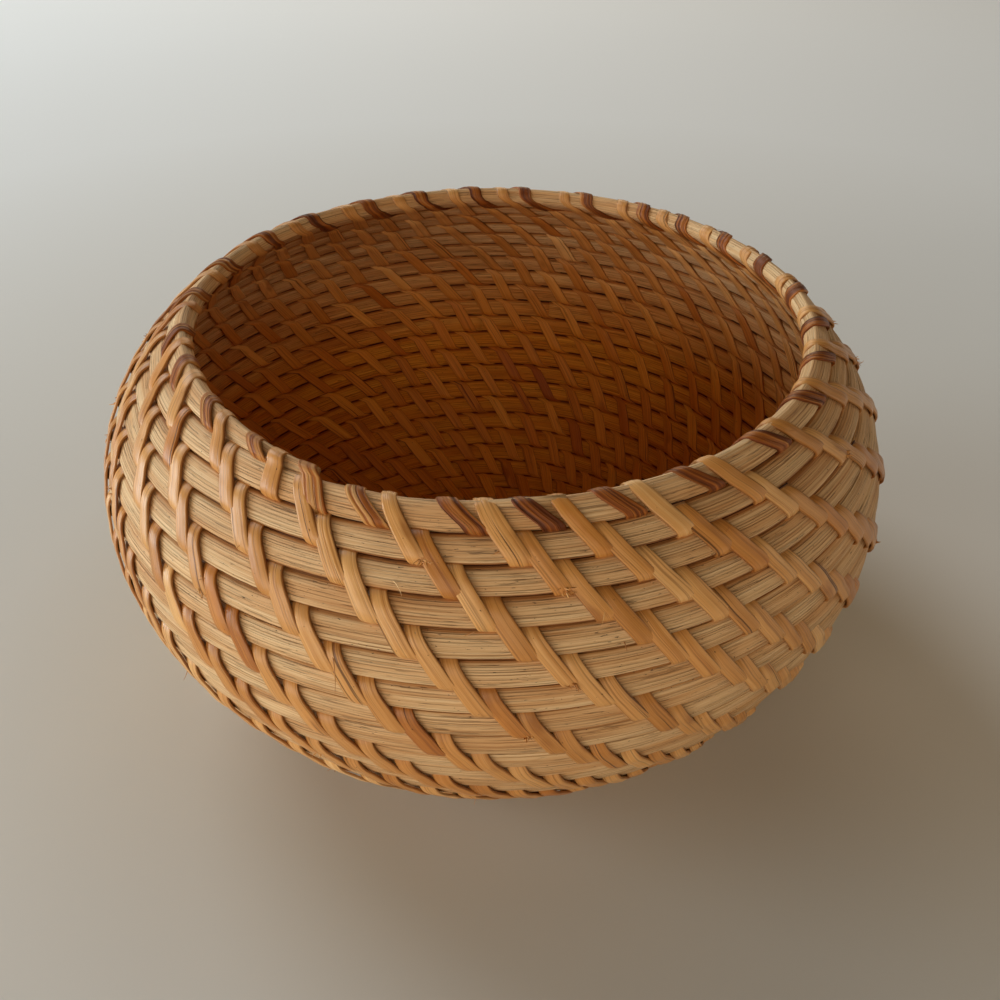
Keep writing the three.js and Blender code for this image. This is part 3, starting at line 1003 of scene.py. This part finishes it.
def build_loose_fibres(material):
    """Torn strip ends and single hairs: the ones that show most, and more at random all round."""
    rng = np.random.default_rng(FIBRE_SEED)
    fibres = []
    for angle, height in TORN_ENDS:
        fibres += torn_end(nearest_stitch(angle, height), rng)
    root = CORE_HALF_THICKNESS - HAIR_ROOT
    for angle, height, length, heading, tone in LOOSE_HAIRS:
        turn, up = place_on_wall(angle, height)
        fibres.append(fibre(turn, up, root, heading, length, FIBRE_RADIUS, tone, rng))
    outside = STITCHES[beside_coil(STITCHES, 0, 0)[:, 2] > LOOSE_FROM_HEIGHT]
    radius = FIBRE_RADIUS * HAIR_RADIUS
    for turn in outside:
        if rng.uniform() < TORN_SHARE:
            fibres += torn_end(turn, rng)
        if rng.uniform() < HAIR_SHARE:
            heading = (rng.normal(*HAIR_ALONG), rng.normal(*HAIR_UP), rng.uniform(*HAIR_OUT))
            tone = rng.choice(HAIR_TONES)
            length = rng.uniform(*HAIR_LENGTH)
            fibres.append(fibre(turn, 0, CORE_HALF_THICKNESS, heading, length, radius, tone, rng))
    hairs = mesh_object("cane_loose_fibres", [f[0] for f in fibres], [f[1] for f in fibres])
    show(hairs, material, "cane")


def unit_vector(azimuth, elevation):
    """Direction from the basket to a place round it, for angles in radians, with azimuth 0 at the front."""
    across = math.cos(elevation)
    return Vector((across * math.sin(azimuth), -across * math.cos(azimuth), math.sin(elevation)))


def build_camera():
    camera = bpy.data.objects.new("camera", bpy.data.cameras.new("camera"))
    bpy.context.scene.collection.objects.link(camera)
    back = unit_vector(-CAMERA_YAW, CAMERA_PITCH)
    place = Vector((0, -CAMERA_DISTANCE, BELLY_HEIGHT + CAMERA_ABOVE_BELLY)) * MM
    turn = (-back).to_track_quat("-Z", "Y").to_matrix().to_4x4() @ Matrix.Rotation(CAMERA_ROLL, 4, "Z")
    camera.matrix_world = Matrix.Translation(place) @ turn
    camera.data.sensor_width = FRAME_WIDTH
    camera.data.lens = FRAME_WIDTH * FOCAL_SHARE
    camera.data.clip_start = CLIP_START
    bpy.context.scene.camera = camera


def area_light(name, azimuth, elevation, power, color):
    """A round soft light that looks at the basket."""
    data = bpy.data.lights.new(name, "AREA")
    data.shape = "DISK"
    data.size = LIGHT_SIZE
    data.energy = power
    data.color = color
    light = bpy.data.objects.new(name, data)
    bpy.context.scene.collection.objects.link(light)
    way = unit_vector(azimuth * RAD, elevation * RAD)
    place = Vector((0, 0, LIGHT_AIM_HEIGHT)) + way * LIGHT_DISTANCE
    light.matrix_world = Matrix.Translation(place) @ (-way).to_track_quat("-Z", "Y").to_matrix().to_4x4()


def build_studio():
    """The floor, a faint glow all round, and the lights."""
    bpy.ops.mesh.primitive_circle_add(
        vertices=FLOOR_SIDES,
        radius=FLOOR_RADIUS,
        fill_type="NGON",
        location=(0, 0, 0),
    )
    floor = bpy.context.object
    floor.name = "floor"
    floor.data.materials.append(floor_material())
    world = bpy.data.worlds.new("studio")
    world.use_nodes = True
    world.node_tree.nodes["Background"].inputs["Color"].default_value = (*ROOM_LIGHT, 1)
    world.node_tree.nodes["Background"].inputs["Strength"].default_value = ROOM_GLOW
    bpy.context.scene.world = world
    for light in LIGHTS:
        area_light(*light)


bpy.context.scene.view_settings.view_transform = "Standard"
build_camera()
build_studio()
build_core()
cane = cane_material()
build_binding(cane)
build_rim()
build_loose_fibres(cane)
